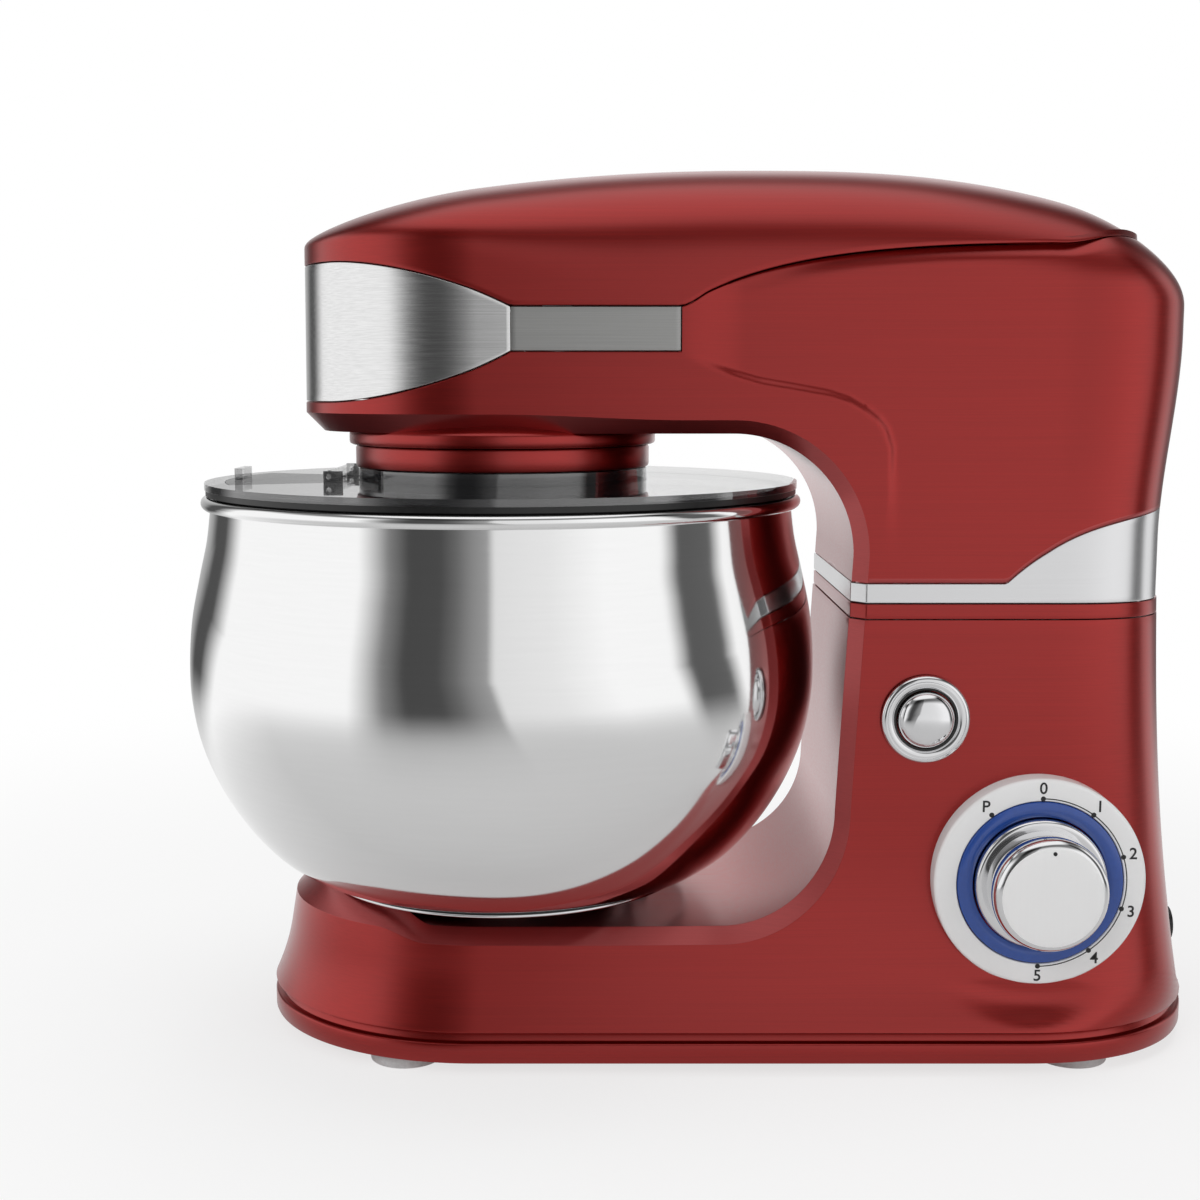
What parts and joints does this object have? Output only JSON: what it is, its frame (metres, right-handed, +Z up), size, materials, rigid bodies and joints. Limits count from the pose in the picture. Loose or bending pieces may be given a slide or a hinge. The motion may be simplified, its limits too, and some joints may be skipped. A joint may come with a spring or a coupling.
{
  "type": "stand mixer",
  "caption": "Tilt-head stand mixer with steel bowl, splash lid, planetary drive, flat beater, side dial and tilt button.",
  "frame": {"origin": "centre of the bounding box at table level, under the feet", "axes": "+Z up, -X toward the bowl and nose, +X toward the column, -Y the side with the dial and tilt button"},
  "size_m": [0.3926, 0.2446, 0.3325],
  "materials": {
    "red_paint": "satin red metallic paint with a fine lengthwise grain",
    "base_plastic": "black moulded plastic",
    "feet_rubber": "grey translucent rubber",
    "screw_steel": "zinc plated steel",
    "cast_frame": "die-cast aluminium",
    "chrome_trim": "bright chrome",
    "dial_white": "satin silver-white plastic",
    "blue_light": "blue translucent light ring",
    "board": "green circuit board",
    "black_rubber": "black rubber",
    "bowl_steel": "polished stainless steel",
    "band_steel": "brushed stainless steel",
    "neck_silver": "satin silver metal",
    "gear_steel": "machined steel",
    "gear_plastic": "white acetal",
    "motor_shell": "grey painted steel",
    "motor_core": "laminated iron with copper windings",
    "carbon": "carbon",
    "smoky_lid": "smoky transparent plastic",
    "beater_metal": "satin cast aluminium"
  },
  "bodies": {
    "base": {"base_shell": "red_paint", "bottom_plate": "base_plastic", "foot_front_left": "feet_rubber", "foot_front_right": "feet_rubber", "foot_rear_left": "feet_rubber", "foot_rear_right": "feet_rubber", "housing_screws": "screw_steel", "bowl_seat": "base_plastic", "column_ring": "red_paint", "column_frame": "cast_frame", "hinge_pin": "screw_steel", "latch_pin": "screw_steel", "button_bezel": "chrome_trim", "dial_bezel": "dial_white", "light_ring": "blue_light", "speed_switch": "base_plastic", "control_board": "board", "cord_gland": "black_rubber"},
    "bowl": {"bowl": "bowl_steel", "bowl_foot": "bowl_steel"},
    "head": {"head_frame": "cast_frame", "head_top_cover": "red_paint", "head_lower_shell": "red_paint", "front_band": "band_steel", "side_strip_left": "band_steel", "side_strip_right": "band_steel", "neck_band": "neck_silver", "hub_collar_upper": "red_paint", "hub_collar_lower": "red_paint", "ring_gear": "gear_steel", "carrier_bearing": "gear_steel", "shaft_bearings": "gear_steel", "gear_bridge": "cast_frame", "motor_housing": "motor_shell", "motor_stator": "motor_core", "carbon_brushes": "carbon", "drive_belt": "black_rubber", "splash_lid": "smoky_lid", "lid_collar": "smoky_lid", "lid_seal": "black_rubber", "latch_striker": "gear_steel"},
    "carrier": {"planet_carrier": "cast_frame", "output_gear": "gear_plastic"},
    "tool": {"planet_gear": "gear_steel", "tool_shaft": "gear_steel", "drive_pin": "screw_steel", "flat_beater": "beater_metal"},
    "pulley": {"drive_pulley": "gear_plastic", "pinion_shaft": "gear_steel"},
    "rotor": {"armature": "motor_core", "motor_shaft": "gear_steel", "motor_fan": "gear_plastic", "motor_pulley": "gear_plastic"},
    "knob": {"control_knob": "dial_white", "knob_collar": "chrome_trim", "knob_shaft": "gear_steel"},
    "button": {"tilt_button": "chrome_trim", "button_spring": "screw_steel"},
    "latch": {"latch_hook": "gear_steel"},
    "flap": {"lid_flap": "smoky_lid"}
  },
  "joints": [
    {"name": "head_tilt", "type": "hinge", "parent": "base", "child": "head", "pos_m": [0.166, 0, 0.177], "axis": [0, 1, 0], "range_deg": [0, 45]},
    {"name": "bowl_twist", "type": "hinge", "parent": "base", "child": "bowl", "pos_m": [-0.074, 0, 0.0605], "axis": [0, 0, 1], "range_deg": [0, 38]},
    {"name": "carrier_spin", "type": "hinge", "parent": "head", "child": "carrier", "pos_m": [-0.074, 0, 0.22], "axis": [0, 0, 1], "continuous": true},
    {"name": "tool_spin", "type": "hinge", "parent": "carrier", "child": "tool", "pos_m": [-0.074, -0.035, 0.22], "axis": [0, 0, 1], "continuous": true},
    {"name": "pulley_spin", "type": "hinge", "parent": "head", "child": "pulley", "pos_m": [-0.0215, 0, 0.268], "axis": [0, 0, 1], "continuous": true},
    {"name": "rotor_spin", "type": "hinge", "parent": "head", "child": "rotor", "pos_m": [0.107, 0, 0.21], "axis": [0, 0, 1], "continuous": true},
    {"name": "knob_turn", "type": "hinge", "parent": "base", "child": "knob", "pos_m": [0.1253, -0.0668, 0.0712], "axis": [0, 1, 0], "range_deg": [-36, 180]},
    {"name": "button_press", "type": "slide", "parent": "base", "child": "button", "axis": [0, 1, 0], "range_m": [0, 0.0025], "stiffness_N_per_m": 600, "springref_m": -0.002},
    {"name": "latch_turn", "type": "hinge", "parent": "base", "child": "latch", "pos_m": [0.0832, -0.046, 0.15], "axis": [1, 0, 0], "range_deg": [0, 7.5]},
    {"name": "flap_open", "type": "hinge", "parent": "head", "child": "flap", "pos_m": [-0.138, 0, 0.2177], "axis": [0, 1, 0], "range_deg": [0, 45]}
  ],
  "couplings": [
    {"joint": "tool_spin", "follows": "carrier_spin", "ratio": -3.8},
    {"joint": "pulley_spin", "follows": "carrier_spin", "ratio": -6},
    {"joint": "rotor_spin", "follows": "carrier_spin", "ratio": -32.752},
    {"joint": "latch_turn", "follows": "button_press", "rad_per_m": 52.08}
  ]
}
